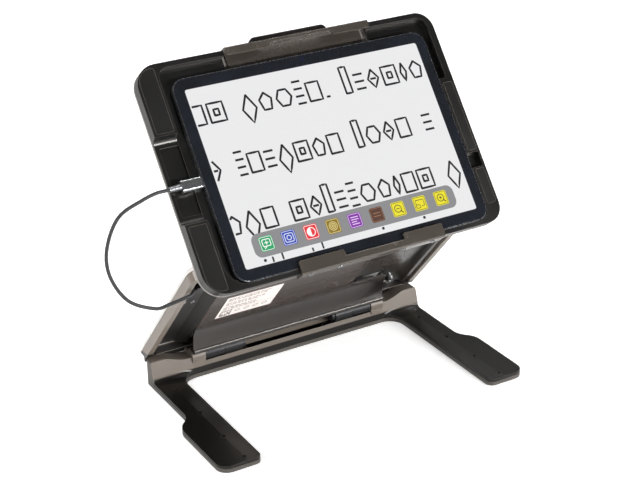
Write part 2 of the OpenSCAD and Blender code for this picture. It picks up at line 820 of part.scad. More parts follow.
module cradle_back_cover() {
  color("#8a867f") in_cradle() difference() {
    union() {
      hull() {
        slab(cradle_back_z, cradle_back_z + 0.05) cradle_plan(1.8);
        slab(cradle_back_z + 1.6, -9.8) cradle_plan();
      }
      // set-back ring at the joint with the tray
      difference() {
        slab(-9.81, tray_back_z) cradle_plan(0.9);
        slab(-9.9, -9.1) cradle_plan(2.6);
      }
    }
    difference() {
      slab(-11.6, -9) cradle_plan(2.6);
      for (p = back_screws) post(p, -12, 3, 2.8);
    }
    for (p = back_screws) {
      post(p, -14, 1.2, 6);
      post(p, -14, 2.2, 2.2);
    }
    // way out for the clamp plate and pull grip
    box(clamp_left - 0.5, clamp_right + 0.5, 190, 200, -11.6, -9);
    // guide stud seats
    for (x = stud_xs) post([x, stud_y], -12.6, 1.6, 2);
    // screws of the upper hinge leaves
    both() post(upper_cradle_screw, -14, 1.25, 3);
  }
}

module cradle_back_screws() {
  color(screw_color) in_cradle() for (p = back_screws)
    translate([p[0], p[1], -11.85]) rotate([180, 0, 0]) pan_screw(0.8, 2.0, 0.8, 1.0, 4.3);
}

module tablet_rest_strips() {
  color("#202020") in_cradle() for (y = [22, 140])
    plate(-90, 105, y, y + 9, tray_floor_z, -6.15, 2);
}

// Two lips that reach over the tablet's edge from the ends of a rail
module lips(left_len, right_len, y0, y1, radii) {
  for (span = [[clamp_left, clamp_left + left_len], [clamp_right - right_len, clamp_right]])
    plate(span[0], span[1], y0, y1, 1.1, 3.1, radii);
}

module bottom_hook_rail() {
  color("#6d6862") in_cradle() difference() {
    union() {
      along_x(clamp_left, clamp_right) polygon([[-6.4, -10.6], [-6.4, 1.9], [-5.2, 3.1],
        [-0.1, 3.1], [0.5, 2.4], [0.5, 1.1], [-0.6, 1.1], [-0.6, 0.05], [-4.6, 0.05],
        [-4.6, -10.6]]);
      lips(43, 39, -2, 5.8, [0.3, 0.3, 1.6, 1.6]);
    }
    at_rail_screws(-7) rotate([-90, 0, 0]) cylinder(r = 1.3, h = 4);
  }
}

module bottom_rail_screws() {
  color(screw_color) in_cradle() at_rail_screws(-6.45)
    rotate([90, 0, 0]) pan_screw(0.7, 1.9, 0.9, 1.0, 4.4);
}

module top_clamp() {
  color("#6d6862") in_cradle() difference() {
    union() {
      // sliding plate between tray and back cover
      plate(-56, 76, 150, 197, -11.4, -9.4, [3, 3, 0.3, 0.3]);
      along_x(clamp_left, clamp_right) polygon([[194.8, -11.4], [194.8, 0.4], [193.9, 1.1],
        [193.9, 3.1], [196, 3.1], [197, 2.1], [197, -11.4]]);
      lips(42, 37, 189.8, 195.9, [1.6, 1.6, 0.3, 0.3]);
    }
    // slots that slide along the guide studs
    for (x = stud_xs)
      plate(x - 1.8, x + 1.8, stud_y - 1.8, stud_y + 2.2 + clamp_travel, -12, -9, 1.7);
    // slots in line with the springs
    for (x = spring_xs) box(x - 1.35, x + 1.35, 149, 168, -12, -9);
  }
}

module clamp_pull_grip() {
  color("#4c4844") in_cradle() plate(-31, 44.6, 197.05, 204, -11.4, -7.4, [0.3, 0.3, 5, 5]);
}

module clamp_guide_studs() {
  color(pin_color) in_cradle() for (x = stud_xs) post([x, stud_y], -12.55, 1.5, 4.8);
}

// Coil spring along y, eight points to a turn
module coil(x, y0, y1, z, radius, wire_r, turns) {
  steps = turns * 8;
  tube([for (i = [0:steps])
    [x + radius * cos(45 * i), y0 + (y1 - y0) * i / steps, z + radius * sin(45 * i)]],
    wire_r, 5);
}

module clamp_return_springs() {
  color("#b9bbbd") in_cradle() for (x = spring_xs)
    coil(x, 116, 149.4, -10.4, radius = 0.75, wire_r = 0.2, turns = 8);
}

// ---------------------------------------------------------------- tablet
volume_down_x = 94;
volume_up_x = 109;
button_half = 5;           // half the length of a button
slot_half = button_half + 0.2;
button_z = [-4.2, -2.0];
slot_z = [-4.35, -1.85];
bezel_x = 10.25;           // margin of the screen at its short sides
bezel_y = 10.35;           // and at its long sides

module tab_plan(inset = 0) {
  polygon(round_rect(tab_left, tab_right, 0, tab_h, 12, inset, 10));
}

module tablet_housing() {
  color(tablet_color) in_cradle() difference() {
    hull() {
      slab(-tab_t, -tab_t + 0.05) tab_plan(0.9);
      slab(-tab_t + 0.8, -0.5) tab_plan();
    }
    slab(-5.3, 0) tab_plan(2.2);
    // ledge for the glass
    slab(-0.9, 0) tab_plan(0.7);
    // charging port
    plug_block(tab_left - 1, tab_left + 7, 4.4, 1.45, 1.3);
    // button slots
    box(tab_right - 3, tab_right + 1, power_button_y - slot_half,
      power_button_y + slot_half, slot_z[0], slot_z[1]);
    for (x = [volume_down_x, volume_up_x])
      box(x - slot_half, x + slot_half, -1, 3, slot_z[0], slot_z[1]);
  }
}

module screen_plan(gap) {
  polygon(round_rect(tab_left + bezel_x + gap, tab_right - bezel_x - gap,
    bezel_y + gap, tab_h - bezel_y - gap, 2));
}

module tablet_front_glass() {
  color("#26272b") in_cradle() difference() {
    slab(-0.85, 0) tab_plan(0.75);
    slab(-0.6, 1) screen_plan(0);
  }
}

module tablet_screen() {
  color("#e9e9ea") in_cradle() slab(-0.6, -0.02) screen_plan(0.02);
}

module tablet_battery() {
  color("#2b2d30") in_cradle() plate(-100, 60, 14, 164, -5.2, -1.6, 3);
}

module tablet_board() {
  color("#1f4a33") in_cradle() plate(66, 120, 66, 160, -4.6, -3.4, 2);
}

module tablet_power_button() {
  color(tablet_color) in_cradle() box(tab_right - 1.2, tab_right + 0.4,
    power_button_y - button_half, power_button_y + button_half, button_z[0], button_z[1]);
}

module volume_button(x) {
  in_cradle() box(x - button_half, x + button_half, -0.4, 1.2, button_z[0], button_z[1]);
}

module tablet_volume_up() {
  color(tablet_color) volume_button(volume_up_x);
}

module tablet_volume_down() {
  color(tablet_color) volume_button(volume_down_x);
}

// ---------------------------------------------------------------- plug
// Rounded block along x, centred on the plug axis
module plug_block(x0, x1, half_y, half_z, corner_r) {
  translate([0, plug_y, plug_z]) along_x(x0, x1)
    polygon(round_rect(-half_y, half_y, -half_z, half_z, corner_r));
}

module usb_plug() {
  color("#c4c5c7") in_cradle() {
    plug_block(-133.4, tab_left - 1.4, 4.85, 2.75, 1.6);
    plug_block(-135.6, -133.35, 5.2, 3.0, 2.0);
    plug_block(tab_left - 1.41, tab_left + 5.4, 4.15, 1.25, 1.15);
  }
}

module usb_strain_relief() {
  color("#9c9da0") in_cradle() difference() {
    translate([-146, plug_y, plug_z]) rotate([0, 90, 0]) cylinder(r1 = 2.1, r2 = 2.6, h = 10.35);
    rod_x(-147, -135, plug_y, plug_z, 1.6);
  }
}

base_lower_shell();
base_top_cover();
base_rubber_feet();
base_cover_screws();
foot_ballast_bars();
base_hinge_brackets();
base_hinge_pins();
base_hinge_screws();
arm_back_shell();
arm_front_frame();
arm_hinge_cover();
arm_cover_plate();
arm_left_bay_liner();
arm_right_bay_liner();
arm_hinge_leaves();
arm_shell_screws();
arm_rubber_bumpers();
rating_label();
camera_housing();
camera_lens();
led_window();
control_board();
battery_pack();
cable_socket();
cable_clips();
usb_cable();
upper_hinge_arm_leaves();
upper_hinge_pins();
upper_hinge_cradle_leaves();
upper_hinge_arm_screws();
upper_hinge_cradle_screws();
cradle_tray();
cradle_back_cover();
cradle_back_screws();
left_upper_pad();
left_lower_pad();
right_middle_pad();
right_lower_pad();
tablet_rest_strips();
bottom_hook_rail();
bottom_rail_screws();
top_clamp();
clamp_pull_grip();
clamp_guide_studs();
clamp_return_springs();
tablet_housing();
tablet_front_glass();
tablet_screen();
tablet_battery();
tablet_board();
tablet_power_button();
tablet_volume_up();
tablet_volume_down();
usb_plug();
usb_strain_relief();
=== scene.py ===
# Folding reading magnifier: a flat base, an arm that leans forward over it, and a tilted cradle
# that holds a tablet with a page on its display. X runs across it to the right, -Y is the front
# and +Z is up. Blender is in metres; drawn details are given in millimetres.
import math
import random
from itertools import groupby

import bmesh
import bpy
from mathutils import Matrix, Vector


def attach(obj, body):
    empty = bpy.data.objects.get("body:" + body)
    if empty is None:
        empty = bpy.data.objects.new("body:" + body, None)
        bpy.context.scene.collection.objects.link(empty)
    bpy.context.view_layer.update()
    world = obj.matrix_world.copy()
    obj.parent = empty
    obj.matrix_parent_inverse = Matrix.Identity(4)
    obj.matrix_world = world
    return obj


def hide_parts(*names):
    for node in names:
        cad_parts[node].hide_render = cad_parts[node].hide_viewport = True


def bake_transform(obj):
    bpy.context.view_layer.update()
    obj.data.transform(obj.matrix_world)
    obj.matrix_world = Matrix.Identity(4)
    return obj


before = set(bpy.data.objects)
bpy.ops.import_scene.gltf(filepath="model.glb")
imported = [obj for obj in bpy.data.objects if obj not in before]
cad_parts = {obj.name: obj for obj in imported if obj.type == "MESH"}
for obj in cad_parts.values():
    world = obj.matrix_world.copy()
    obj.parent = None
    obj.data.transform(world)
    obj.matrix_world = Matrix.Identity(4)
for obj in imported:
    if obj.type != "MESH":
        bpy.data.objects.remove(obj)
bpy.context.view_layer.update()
MM = 0.001


# ------------------------------------------------------------------ panel axes
def panel_axes(tilt, y0, z0):
    """Returns a map from a tilted panel's own axes (mm) to space (metres)."""
    cos, sin = math.cos(math.radians(tilt)), math.sin(math.radians(tilt))

    def point(x, along, out):
        return Vector((x, y0 + cos * along - sin * out, z0 + sin * along + cos * out)) * MM
    return point


# cradle: along climbs to the back, out leaves the display to the front and up
cradle_point = panel_axes(tilt=51.65, y0=-134.5, z0=153)
# arm: along climbs to the front, out goes to the front and down
arm_point = panel_axes(tilt=180 - 48.55, y0=0, z0=20)

TABLET_LEFT = -116.55  # x of the tablet's left edge
EDGE_LINE = -3.05      # out position of the plug and the speaker holes


def tablet_point(x, along, out):
    """Cradle axes, with x counted from the tablet's left edge."""
    return cradle_point(TABLET_LEFT + x, along, out)


# ------------------------------------------------------------------ node trees
class Nodes:
    """Short forms for building a node tree."""

    def __init__(self, tree):
        self.tree = tree
        tree.nodes.clear()

    def wire(self, socket, value):
        """Gives a socket a number, a colour or vector, or a link."""
        if isinstance(value, (int, float)):
            socket.default_value = value
        elif isinstance(value, tuple):
            socket.default_value = (*value, 1.0)[:len(socket.default_value)]
        else:
            self.tree.links.new(value, socket)

    def node(self, kind, inputs=None, **props):
        made = self.tree.nodes.new(kind)
        for key, value in props.items():
            setattr(made, key, value)
        for key, value in (inputs or {}).items():
            self.wire(made.inputs[key], value)
        return made

    def ramp(self, value, across, to=(0.0, 1.0), **props):
        """Remaps a value from the range `across` to the range `to`, clamped."""
        return self.node("ShaderNodeMapRange", {
            "From Min": across[0], "From Max": across[1], "To Min": to[0], "To Max": to[1],
            "Value": value}, **props).outputs["Result"]

    def calc(self, operation, a, b):
        return self.node("ShaderNodeMath", {0: a, 1: b}, operation=operation).outputs[0]


class Surface(Nodes):
    """A Principled material."""

    def __init__(self, name):
        self.mat = bpy.data.materials.new(name)
        self.mat.use_nodes = True
        super().__init__(self.mat.node_tree)
        out = self.node("ShaderNodeOutputMaterial")
        self.bsdf = self.node("ShaderNodeBsdfPrincipled")
        self.wire(out.inputs[0], self.bsdf.outputs[0])
        self.coords = self.node("ShaderNodeTexCoord").outputs["Object"]
        self.normal = None

    def noise(self, scale, detail=3.0, rough=0.55, vector=None):
        return self.node("ShaderNodeTexNoise", {
            "Scale": scale, "Detail": detail, "Roughness": rough,
            "Vector": vector or self.coords}).outputs["Fac"]

    def mix(self, factor, a, b):
        return self.node("ShaderNodeMix", {0: factor, 6: a, 7: b}, data_type="RGBA").outputs[2]

    def mottle(self, noise, a, b):
        """Blends two colours through the middle of a noise."""
        return self.mix(self.ramp(noise, across=(0.3, 0.7)), a, b)

    def edge(self, radius):
        """0 on flat ground, near 1 on an outer or inner edge."""
        rounded = self.node("ShaderNodeBevel", {"Radius": radius}, samples=4)
        geometry = self.node("ShaderNodeNewGeometry")
        dot = self.node("ShaderNodeVectorMath", {0: rounded.outputs[0], 1: geometry.outputs["Normal"]},
                        operation="DOT_PRODUCT")
        return self.ramp(dot.outputs["Value"], across=(0.999, 0.85))

    def beyond(self, axis, start, end):
        """0 at `start` and 1 at `end` (metres) along an axis."""
        split = self.node("ShaderNodeSeparateXYZ", {0: self.coords})
        return self.ramp(split.outputs[axis], across=(start, end))

    def bump(self, height, strength, distance):
        """Lays a bump (distance in metres) over those already laid."""
        inputs = {"Strength": strength, "Distance": distance, "Height": height}
        if self.normal is not None:
            inputs["Normal"] = self.normal
        self.normal = self.node("ShaderNodeBump", inputs).outputs[0]
        self.wire(self.bsdf.inputs["Normal"], self.normal)

    def shade(self, **values):
        for key, value in values.items():
            self.wire(self.bsdf.inputs[key.replace("_", " ")], value)


# ------------------------------------------------------------------ kinds of material
def srgb(code):
    """Linear colour from a hex code."""
    parts = [int(code[i:i + 2], 16) / 255 for i in (0, 2, 4)]
    return tuple(c / 12.92 if c <= 0.04045 else ((c + 0.055) / 1.055) ** 2.4 for c in parts)


def tint(colour, factor, lift=0.0):
    return tuple(min(1, c * factor + lift) for c in colour)


WARM = (1.0, 0.965, 0.93)
EDGE_HIGHLIGHT_LIFT = (0.24, 0.215, 0.19)  # added to a plastic's colour on its edges, a painted highlight

# Plastics with painted light: the hex code of a painted tone, then the zones (axis, start, end in metres)
# whose overlap it fills; a painted sheen on the base cover, painted shade on the arm's shell and rim.
PAINTED_LIGHT_ZONES = {
    # painted taupe sheen over the top of the bar and the towers
    "cover_satin": ("6c645c", [("Y", -0.0090, -0.0074), ("Z", 0.0108, 0.0116)]),
    # painted shade on the lower front of the shell, the skirt under the arm
    "arm_shell_pale": ("0e0d0d", [("Z", 0.0288, 0.0284), ("Y", 0.0155, 0.0150)]),
    # painted shade on the rim's lower end, below 33 mm, by the hinge
    "arm_rim_taupe": ("0f0e0e", [("Z", 0.0345, 0.0325)]),
}


def plastic(name, code, rough, grain, grain_bump, edge_highlight, coat=0.0, ior=1.5):
    """Moulded plastic, mottled and dusty, with a painted highlight on its edges."""
    surface = Surface(name)
    colour = srgb(code)
    patches = surface.noise(scale=14, detail=4, rough=0.6)
    fine = surface.noise(scale=grain, detail=2, rough=0.5)
    dust = surface.noise(scale=420, detail=6, rough=0.7)
    base = surface.mix(surface.ramp(patches, across=(0.35, 0.65)), tint(colour, 0.88), tint(colour, 1.12))
    # lay this plastic's painted sheen and painted shade, where it has any, over its zones
    if name in PAINTED_LIGHT_ZONES:
        painted_tone, (first, *rest) = PAINTED_LIGHT_ZONES[name]
        painted_light_mask = surface.beyond(*first)
        for zone in rest:
            painted_light_mask = surface.calc("MULTIPLY", painted_light_mask, surface.beyond(*zone))
        base = surface.mix(painted_light_mask, base, srgb(painted_tone))
    dusty = surface.ramp(dust, across=(0.62, 0.8), to=(0, 0.035))
    base = surface.mix(dusty, base, tint(colour, 1.6, lift=0.015))
    patchy = surface.ramp(surface.noise(scale=60, detail=2, rough=0.5), across=(0.3, 0.62), to=(0.6, 1.0))
    # Painted highlight: the edges turn paler, as if catching the light, broken up by noise.
    edge_highlight_mask = surface.calc("MULTIPLY", surface.edge(radius=0.00048), patchy)
    edge_highlight_colour = tuple(min(1, c * 2.6 + lift) for c, lift in zip(colour, EDGE_HIGHLIGHT_LIFT))
    base = surface.mix(surface.calc("MULTIPLY", edge_highlight_mask, edge_highlight), base, edge_highlight_colour)
    roughness = surface.calc(
        "ADD", surface.ramp(patches, across=(0.3, 0.7), to=(rough - 0.05, rough + 0.06)),
        surface.ramp(dust, across=(0.3, 0.8), to=(0.0, 0.05)))
    surface.shade(Base_Color=base, Roughness=roughness, IOR=ior, Specular_Tint=WARM, Coat_Tint=WARM)
    if coat:
        surface.shade(Coat_Weight=coat, Coat_Roughness=0.25)
    surface.bump(fine, strength=grain_bump * 0.6, distance=0.00004)
    surface.bump(dust, strength=0.02, distance=0.00004)
    return surface.mat


def metal(name, code, rough, brush, brush_bump, edge_highlight, metallic):
    """Brushed metal with a painted highlight on its edges; `brush` stretches the lines along the axes."""
    surface = Surface(name)
    colour = srgb(code)
    stretched = surface.node("ShaderNodeMapping", {"Scale": brush, "Vector": surface.coords})
    lines = surface.noise(scale=900, detail=4, rough=0.6, vector=stretched.outputs["Vector"])
    patches = surface.noise(scale=40, detail=4, rough=0.6)
    base = surface.mix(surface.ramp(patches, across=(0.35, 0.65)), tint(colour, 0.86), colour)
    # Painted highlight: the edges turn paler, as if catching the light.
    edge_highlight_mask = surface.calc("MULTIPLY", surface.edge(radius=0.00024), edge_highlight)
    base = surface.mix(edge_highlight_mask, base, tint(colour, 1.5, lift=0.1))
    surface.shade(Base_Color=base, Metallic=metallic,
                  Roughness=surface.ramp(lines, across=(0.3, 0.7), to=(rough - 0.07, rough + 0.09)))
    surface.bump(lines, strength=brush_bump, distance=0.00003)
    return surface.mat


def rubber(name, code, rough):
    """Pebbled, dusty rubber."""
    surface = Surface(name)
    colour = srgb(code)
    cells = surface.node("ShaderNodeTexVoronoi", {"Scale": 1500, "Vector": surface.coords}, feature="F1")
    dust = surface.noise(scale=300, detail=6, rough=0.7)
    dusty = surface.ramp(dust, across=(0.5, 0.8), to=(0, 0.25))
    surface.shade(Base_Color=surface.mix(dusty, colour, tint(colour, 2.5, lift=0.02)),
                  Roughness=surface.ramp(dust, across=(0.3, 0.7), to=(rough - 0.06, rough + 0.08)))
    surface.bump(cells.outputs["Distance"], strength=0.3, distance=0.00008)
    surface.bump(dust, strength=0.15, distance=0.0001)
    return surface.mat


def lit(name, glow, strength=1.0, base=(0.02, 0.02, 0.022), rough=0.25):
    """A glowing patch with a faint fine mottle."""
    surface = Surface(name)
    fine = surface.noise(scale=3000, detail=1, rough=0.5)
    surface.shade(Base_Color=base, Roughness=rough, Emission_Strength=strength,
                  Emission_Color=surface.mottle(fine, tint(glow, 0.97), glow), Specular_IOR_Level=0.3)
    surface.bump(fine, strength=0.02, distance=0.00001)
    return surface.mat


def lens_glass(name):
    surface = Surface(name)
    base = surface.mottle(surface.noise(scale=90), srgb("141b2c"), srgb("2a2340"))
    surface.shade(Base_Color=base, Roughness=0.05, Coat_Weight=1.0, Coat_Roughness=0.03, IOR=1.6)
    surface.bump(surface.noise(scale=300), strength=0.02, distance=0.00002)
    return surface.mat


def bezel_glass(name):
    surface = Surface(name)
    base = surface.mottle(surface.noise(scale=25), srgb("17191d"), srgb("1e2127"))
    smears = surface.ramp(surface.noise(scale=60, detail=4), across=(0.3, 0.7), to=(0.09, 0.17))
    surface.shade(Base_Color=base, Roughness=smears, IOR=1.5, Coat_Weight=0.4, Coat_Roughness=0.05)
    surface.bump(surface.noise(scale=120), strength=0.015, distance=0.00003)
    return surface.mat


def display(name):
    surface = Surface(name)
    fine = surface.noise(scale=2600, detail=1, rough=0.5)
    glow = surface.mottle(fine, (0.775, 0.775, 0.78), (0.80, 0.80, 0.805))
    surface.shade(Base_Color=(0.03, 0.03, 0.032), Roughness=0.3, Emission_Color=glow,
                  Emission_Strength=1.0, Specular_IOR_Level=0.2)
    surface.bump(fine, strength=0.01, distance=0.00001)
    return surface.mat


def label_paper(name):
    surface = Surface(name)
    fibres = surface.noise(scale=1800, detail=5, rough=0.7)
    # The paper's emission is painted light: the label glows so that it looks brightly lit.
    surface.shade(Base_Color=surface.mottle(fibres, srgb("ddd2cd"), srgb("ece4df")), Roughness=0.55,
                  Emission_Color=srgb("e4dad5"), Emission_Strength=0.22)
    surface.bump(fibres, strength=0.25, distance=0.00004)
    return surface.mat


def floor_pale(name):
    """Near white, and brighter to the camera than to the object."""
    surface = Surface(name)
    light_path = surface.node("ShaderNodeLightPath")
    tone = surface.mottle(surface.noise(scale=3), (0.90, 0.90, 0.90), (0.92, 0.92, 0.92))
    glow = surface.ramp(light_path.outputs["Is Camera Ray"], across=(0.0, 1.0), to=(0.12, 0.55))
    surface.shade(Base_Color=tone, Roughness=0.9, Specular_IOR_Level=0.1,
                  Emission_Color=(1.0, 1.0, 1.0), Emission_Strength=glow)
    surface.bump(surface.noise(scale=500, detail=2), strength=0.02, distance=0.0001)
    return surface.mat


# ------------------------------------------------------------------ the materials
# colour, roughness, grain scale, grain bump, strength of the painted edge highlight, then coat weight and
# IOR where not plain
PLASTICS = {
    "cover_satin": ("0d0c0b", 0.3, 2400, 0.15, 0.35, 0.08, 1.42),
    "lower_shell": ("4e4a46", 0.4, 2000, 0.3, 0.3),
    "cradle_satin": ("0e0e0e", 0.3, 2600, 0.18, 0.6, 0.25),
    # the cradle back shell's pale grey is a painted highlight along the side that shows
    "cradle_back_shell": ("a29d97", 0.45, 2000, 0.3, 0.3),
    "grip_pad": ("101010", 0.36, 3200, 0.3, 0.65),
    "rail_satin": ("403b36", 0.24, 2600, 0.1, 0.5, 0.35, 1.6),
    "pull_grip": ("1d1a18", 0.36, 2600, 0.25, 0.65),
    "arm_shell_pale": ("dcd9d6", 0.45, 2200, 0.25, 0.25),
    "arm_rim_taupe": ("776e66", 0.3, 2400, 0.2, 0.6, 0.3),
    "hinge_sheet": ("1c1918", 0.22, 2400, 0.08, 0.3, 0.45, 1.65),
    "arm_plate_brown": ("24160f", 0.26, 2400, 0.14, 0.5, 0.4, 1.6),
    "bay_black": ("0e0d0d", 0.42, 1500, 0.4, 0.6),
    "bay_scoop": ("1b1918", 0.27, 2600, 0.12, 0.5, 0.45, 1.6),
    "moulded_black": ("111111", 0.4, 2000, 0.3, 0.5),
    "camera_black": ("0c0c0d", 0.15, 3000, 0.05, 0.4, 0.6),
    "board_green": ("17462d", 0.3, 700, 0.4, 0.3),
    "battery_wrap": ("383b3f", 0.28, 500, 0.2, 0.3),
    "label_ink": ("5b5350", 0.6, 1800, 0.1, 0.0),
}
# colour, roughness, brush stretch, brush bump, strength of the painted edge highlight, metallic
METALS = {
    "hinge_phosphate": ("2a2a2c", 0.42, (1, 1, 1), 0.15, 0.6, 0.6),
    "zinc_screw": ("b8babd", 0.28, (1, 1, 1), 0.15, 0.3, 1.0),
    "ground_steel": ("c6c8ca", 0.22, (1, 40, 40), 0.2, 0.3, 1.0),
    "black_screw": ("27272a", 0.32, (1, 1, 1), 0.15, 0.8, 0.7),
    "tablet_aluminium": ("c3c6cc", 0.26, (1, 1, 1), 0.12, 0.6, 1.0),
    "plug_metal": ("cfd0d2", 0.26, (30, 1, 1), 0.25, 0.6, 1.0),
    "relief_metal": ("9c9da0", 0.34, (1, 1, 1), 0.2, 0.4, 1.0),
}
MATS = {name: plastic(name, *row) for name, row in PLASTICS.items()}
MATS.update({name: metal(name, *row) for name, row in METALS.items()})
MATS["foot_rubber"] = rubber("foot_rubber", "191919", rough=0.7)
MATS["cable_jacket"] = rubber("cable_jacket", "2a2a2b", rough=0.5)
MATS["led_diffuser"] = lit("led_diffuser", (0.82, 0.88, 1.0), strength=0.9, base=(0.8, 0.8, 0.85))
MATS["glyph_ink"] = lit("glyph_ink", (0.006, 0.006, 0.007), base=(0.004, 0.004, 0.005), rough=0.5)
for maker in (lens_glass, bezel_glass, display, label_paper):
    MATS[maker.__name__] = maker(maker.__name__)

# ------------------------------------------------------------------ the loaded pieces
# piece: material, bevel width in mm (0 for none)
PIECES = {
    "base_lower_shell": ("lower_shell", 0.35),
    "base_top_cover": ("cover_satin", 0.45),
    "base_rubber_feet": ("foot_rubber", 0.4),
    "base_cover_screws": ("black_screw", 0.1),
    "foot_ballast_bars": ("zinc_screw", 0.3),
    "base_hinge_brackets": ("hinge_phosphate", 0.3),
    "base_hinge_pins": ("hinge_phosphate", 0.2),
    "base_hinge_screws": ("black_screw", 0.1),
    "arm_back_shell": ("arm_shell_pale", 0.3),
    "arm_front_frame": ("arm_rim_taupe", 0.5),
    "arm_hinge_cover": ("hinge_sheet", 0.3),
    "arm_cover_plate": ("arm_plate_brown", 0.25),
    "arm_left_bay_liner": ("bay_black", 0.25),
    "arm_right_bay_liner": ("bay_scoop", 0.25),
    "arm_hinge_leaves": ("hinge_phosphate", 0.25),
    "arm_shell_screws": ("zinc_screw", 0.1),
    "arm_rubber_bumpers": ("foot_rubber", 0.4),
    "rating_label": ("label_paper", 0),
    "camera_housing": ("camera_black", 0.2),
    "camera_lens": ("lens_glass", 0),
    "led_window": ("led_diffuser", 0),
    "control_board": ("board_green", 0.1),
    "battery_pack": ("battery_wrap", 0.5),
    "cable_socket": ("moulded_black", 0.3),
    "cable_clips": ("moulded_black", 0.4),
    "usb_cable": ("cable_jacket", 0),
    "upper_hinge_arm_leaves": ("hinge_phosphate", 0.25),
    "upper_hinge_arm_screws": ("zinc_screw", 0),
    "upper_hinge_pins": ("ground_steel", 0.2),
    "upper_hinge_cradle_leaves": ("hinge_phosphate", 0.25),
    "upper_hinge_cradle_screws": ("zinc_screw", 0),
    "cradle_tray": ("cradle_satin", 0.55),
    "cradle_back_cover": ("cradle_back_shell", 0.4),
    "cradle_back_screws": ("zinc_screw", 0.1),
    "left_upper_pad": ("grip_pad", 0.3),
    "left_lower_pad": ("grip_pad", 0.3),
    "right_middle_pad": ("grip_pad", 0.3),
    "right_lower_pad": ("grip_pad", 0.3),
    "tablet_rest_strips": ("foot_rubber", 0.15),
    "bottom_hook_rail": ("rail_satin", 0.35),
    "bottom_rail_screws": ("zinc_screw", 0.1),
    "top_clamp": ("rail_satin", 0.35),
    "clamp_pull_grip": ("pull_grip", 0.5),
    "clamp_guide_studs": ("ground_steel", 0),
    "clamp_return_springs": ("zinc_screw", 0),
    "tablet_housing": ("tablet_aluminium", 0.3),
    "tablet_front_glass": ("bezel_glass", 0.12),
    "tablet_screen": ("display", 0),
    "tablet_battery": ("battery_wrap", 0),
    "tablet_board": ("board_green", 0),
    "tablet_power_button": ("tablet_aluminium", 0.2),
    "tablet_volume_up": ("tablet_aluminium", 0.2),
    "tablet_volume_down": ("tablet_aluminium", 0.2),
    "usb_plug": ("plug_metal", 0.2),
    "usb_strain_relief": ("relief_metal", 0.15),
}
for name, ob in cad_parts.items():
    material, bevel_width = PIECES[name]
    ob.data.materials.clear()
    ob.data.materials.append(MATS[material])
    if bevel_width:
        bevel = ob.modifiers.new("bevel", "BEVEL")
        bevel.width = bevel_width * MM
        bevel.segments = 2
        bevel.limit_method = "ANGLE"
        bevel.angle_limit = math.radians(33)
        bevel.harden_normals = False
        bevel.use_clamp_overlap = True


# ------------------------------------------------------------------ mesh helpers
def add_object(name, data):
    ob = bpy.data.objects.new(name, data)
    bpy.context.scene.collection.objects.link(ob)
    return ob


def make(name, body, mat, verts, faces, smooth=False):
    """A mesh object that rides on `body`, from points in metres."""
    mesh = bpy.data.meshes.new(name)
    mesh.from_pydata([tuple(v) for v in verts], [], faces)
    bm = bmesh.new()
    bm.from_mesh(mesh)
    bmesh.ops.remove_doubles(bm, verts=bm.verts, dist=1e-7)
    bmesh.ops.recalc_face_normals(bm, faces=bm.faces)
    for face in bm.faces:
        face.smooth = smooth
    bm.to_mesh(mesh)
    bm.free()
    ob = add_object(name, mesh)
    mesh.materials.append(mat)
    if body:
        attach(ob, body)
    return ob


class Sheet:
    """Thin shapes drawn on a panel from height low to high; to_space(x, y, height) places them."""

    def __init__(self, to_space, low, high):
        self.to_space, self.heights = to_space, (low, high)
        self.verts, self.faces = [], []

    def extrude(self, points):
        """Adds the points at both heights and returns the first index."""
        first = len(self.verts)
        for height in self.heights:
            self.verts += [self.to_space(x, y, height) for x, y in points]
        return first

    def prism(self, points):
        n = len(points)
        low = self.extrude(points)
        high = low + n
        self.faces.append(list(range(high, high + n)))
        self.faces.append(list(range(high - 1, low - 1, -1)))
        for i in range(n):
            j = (i + 1) % n
            self.faces.append([low + i, low + j, high + j, high + i])

    def stroke(self, points, width, closed=False, cap=False):
        """A ribbon along a polyline; `cap` lengthens its open ends a little."""
        n = len(points)
        left, right = [], []
        for i, (x, y) in enumerate(points):
            a = points[i - 1] if (i > 0 or closed) else points[i]
            b = points[(i + 1) % n] if (i < n - 1 or closed) else points[i]
            dx, dy = b[0] - a[0], b[1] - a[1]
            length = math.hypot(dx, dy) or 1
            nx, ny = -dy / length * width / 2, dx / length * width / 2
            left.append((x + nx, y + ny))
            right.append((x - nx, y - ny))
        if cap and not closed:
            for end, inner in ((0, 1), (-1, -2)):
                dx, dy = (points[end][k] - points[inner][k] for k in (0, 1))
                length = math.hypot(dx, dy) or 1
                ex, ey = dx / length * width * 0.2, dy / length * width * 0.2
                for side in (left, right):
                    side[end] = (side[end][0] + ex, side[end][1] + ey)
        low_l = self.extrude(left + right)
        low_r, high_l, high_r = low_l + n, low_l + 2 * n, low_l + 3 * n
        for i in range(n if closed else n - 1):
            j = (i + 1) % n
            self.faces += [[high_l + i, high_l + j, high_r + j, high_r + i],
                           [low_l + i, low_r + i, low_r + j, low_l + j],
                           [low_l + i, low_l + j, high_l + j, high_l + i],
                           [low_r + i, high_r + i, high_r + j, low_r + j]]
        if not closed:
            for i in (0, n - 1):
                end_face = [low_l + i, high_l + i, high_r + i, low_r + i]
                self.faces.append(end_face if i == 0 else end_face[::-1])

    def build(self, name, body, mat):
        return make(name, body, mat, self.verts, self.faces)


def arc(cx, cy, radius, start, end, steps):
    angles = [math.radians(start + (end - start) * i / steps) for i in range(steps + 1)]
    return [(cx + radius * math.cos(a), cy + radius * math.sin(a)) for a in angles]


def circle(radius, steps, cx=0.0, cy=0.0):
    """Stops at 345 degrees, to be closed by a last, wider step."""
    return arc(cx, cy, radius, 0, 345, steps)


def rect(x0, y0, x1, y1):
    return [(x0, y0), (x1, y0), (x1, y1), (x0, y1)]


